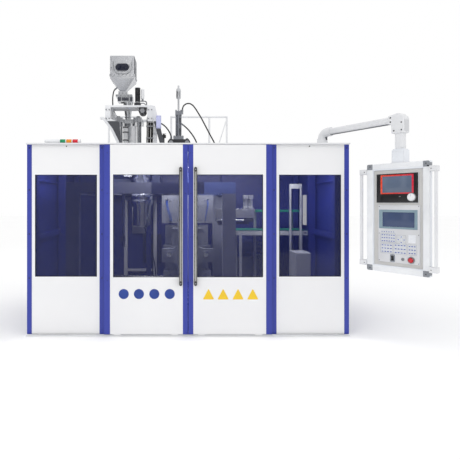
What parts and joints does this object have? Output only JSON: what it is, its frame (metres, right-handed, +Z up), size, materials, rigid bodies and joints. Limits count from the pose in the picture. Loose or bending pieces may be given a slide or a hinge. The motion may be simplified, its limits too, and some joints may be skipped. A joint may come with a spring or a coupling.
{
  "type": "blow moulding machine",
  "caption": "Free-standing extrusion blow moulding machine: white and blue enclosure with tinted sliding doors, hopper and tower on the roof, and a control panel on a swivel arm.",
  "frame": {"origin": "on the floor, at the centre of the enclosure's footprint, at the foot of the middle levelling foot", "axes": "+X to the right along the front, +Y from the front to the back, +Z up; the control panel hangs off the front right corner"},
  "size_m": [4.4091, 3.1192, 3.794],
  "materials": {
    "white_paint": "smooth white powder coat",
    "blue_paint": "satin deep blue paint",
    "door_paint": "white powder coat with blue edge bands",
    "dark_paint": "satin dark grey paint",
    "machined_steel": "machined and ground steel",
    "polished_steel": "polished stainless sheet",
    "hard_chrome": "hard chromed bars and rods",
    "cast_grey": "grey painted casting",
    "aluminium": "anodised aluminium",
    "handle_grey": "grey anodised bar with dark brackets",
    "tinted_glass": "dark blue tinted sheet",
    "rubber_black": "black hose rubber",
    "belt_green": "green belt cover",
    "lens_plastic": "green, amber and red lens caps",
    "white_plastic": "white plastic",
    "panel_plastic": "light grey panel with dark screens",
    "red_plastic": "red button",
    "black_plastic": "black switch"
  },
  "bodies": {
    "machine": {"base_frame": "dark_paint", "levelling_feet": "machined_steel", "enclosure_frame": "blue_paint", "roof_plates": "white_paint", "outer_panels": "blue_paint", "fixed_windows": "tinted_glass", "front_panels": "door_paint", "door_tracks": "white_paint", "guard_rails": "white_paint", "service_gantry": "white_paint", "head_tower": "machined_steel", "push_cylinders": "white_paint", "servo_motor": "dark_paint", "hopper_loader": "polished_steel", "feed_chute": "polished_steel", "extruder_barrel": "machined_steel", "extruder_drive": "blue_paint", "die_head": "machined_steel", "upper_platform": "cast_grey", "slide_rails": "machined_steel", "blow_cylinder": "cast_grey", "blow_mount": "dark_paint", "takeout_rail": "aluminium", "conveyor_frames": "aluminium", "conveyor_belt": "belt_green", "hydraulic_unit": "cast_grey", "control_cabinet": "white_paint", "signal_tower": "white_plastic", "signal_lenses": "lens_plastic", "hose_glands": "machined_steel", "loader_hose": "rubber_black", "pin_hose_long": "rubber_black", "pin_hose_short": "rubber_black", "gantry_hose": "rubber_black", "arm_base": "white_paint"},
    "left_door": {"left_door": "door_paint", "left_door_window": "tinted_glass", "left_door_handle": "handle_grey"},
    "right_door": {"right_door": "door_paint", "right_door_window": "tinted_glass", "right_door_handle": "handle_grey"},
    "loader_door": {"loader_door": "polished_steel"},
    "screw": {"extruder_screw": "machined_steel"},
    "carriage": {"carriage": "cast_grey"},
    "front_clamp": {"front_platen": "cast_grey", "tie_bars": "hard_chrome", "cylinder_plate": "cast_grey", "front_mould": "aluminium"},
    "rear_clamp": {"rear_platen": "cast_grey", "rear_mould": "aluminium"},
    "blow_pin": {"blow_pin": "hard_chrome"},
    "gripper": {"takeout_gripper": "dark_paint"},
    "drive_roller": {"drive_roller": "machined_steel"},
    "idler_roller": {"idler_roller": "machined_steel"},
    "arm": {"arm_tubes": "white_paint"},
    "panel": {"panel_housing": "panel_plastic", "panel_handles": "white_paint"},
    "stop_button": {"stop_button": "red_plastic"},
    "selector_knob": {"selector_knob": "white_plastic"},
    "rocker": {"rocker_switch": "black_plastic"}
  },
  "joints": [
    {"name": "left_door_slide", "type": "slide", "parent": "machine", "child": "left_door", "axis": [-1, 0, 0], "range_m": [0, 0.9]},
    {"name": "right_door_slide", "type": "slide", "parent": "machine", "child": "right_door", "axis": [1, 0, 0], "range_m": [0, 0.9]},
    {"name": "loader_door_hinge", "type": "hinge", "parent": "machine", "child": "loader_door", "pos_m": [-1.143, 0.134, 3.665], "axis": [0, 0, 1], "range_deg": [-100, 0]},
    {"name": "screw_turn", "type": "hinge", "parent": "machine", "child": "screw", "pos_m": [-0.62, 0, 2.08], "axis": [0, 1, 0], "continuous": true},
    {"name": "carriage_shuttle", "type": "slide", "parent": "machine", "child": "carriage", "axis": [1, 0, 0], "range_m": [-0.62, 0]},
    {"name": "clamp_open", "type": "slide", "parent": "carriage", "child": "front_clamp", "axis": [0, -1, 0], "range_m": [0, 0.2]},
    {"name": "rear_platen_open", "type": "slide", "parent": "carriage", "child": "rear_clamp", "axis": [0, 1, 0], "range_m": [0, 0.2]},
    {"name": "blow_pin_stroke", "type": "slide", "parent": "machine", "child": "blow_pin", "axis": [0, 0, -1], "range_m": [0, 0.16]},
    {"name": "gripper_slide", "type": "slide", "parent": "machine", "child": "gripper", "axis": [-1, 0, 0], "range_m": [0, 0.34]},
    {"name": "drive_roller_turn", "type": "hinge", "parent": "machine", "child": "drive_roller", "pos_m": [0.68, 0.225, 1.15], "axis": [0, 1, 0], "continuous": true},
    {"name": "idler_roller_turn", "type": "hinge", "parent": "machine", "child": "idler_roller", "pos_m": [1.73, 0.225, 1.15], "axis": [0, 1, 0], "continuous": true},
    {"name": "arm_swivel", "type": "hinge", "parent": "machine", "child": "arm", "pos_m": [1.733, -0.739, 2.35], "axis": [0, 0, 1], "range_deg": [-40, 80]},
    {"name": "panel_swivel", "type": "hinge", "parent": "arm", "child": "panel", "pos_m": [2.27019, -1.63302, 2.1], "axis": [0, 0, 1], "range_deg": [-90, 90]},
    {"name": "stop_button_push", "type": "slide", "parent": "panel", "child": "stop_button", "axis": [0.7912, 0.6115, 0], "range_m": [0, 0.008]},
    {"name": "selector_turn", "type": "hinge", "parent": "panel", "child": "selector_knob", "pos_m": [2.2929, -1.80631, 1.645], "axis": [-0.7912, -0.6115, 0], "range_deg": [-60, 60]},
    {"name": "rocker_tilt", "type": "hinge", "parent": "panel", "child": "rocker", "pos_m": [2.18473, -1.64346, 0.995], "axis": [0.6115, -0.7912, 0], "range_deg": [-10, 10]}
  ],
  "couplings": [
    {"joint": "rear_platen_open", "follows": "clamp_open", "ratio": 1},
    {"joint": "idler_roller_turn", "follows": "drive_roller_turn", "ratio": 1}
  ]
}
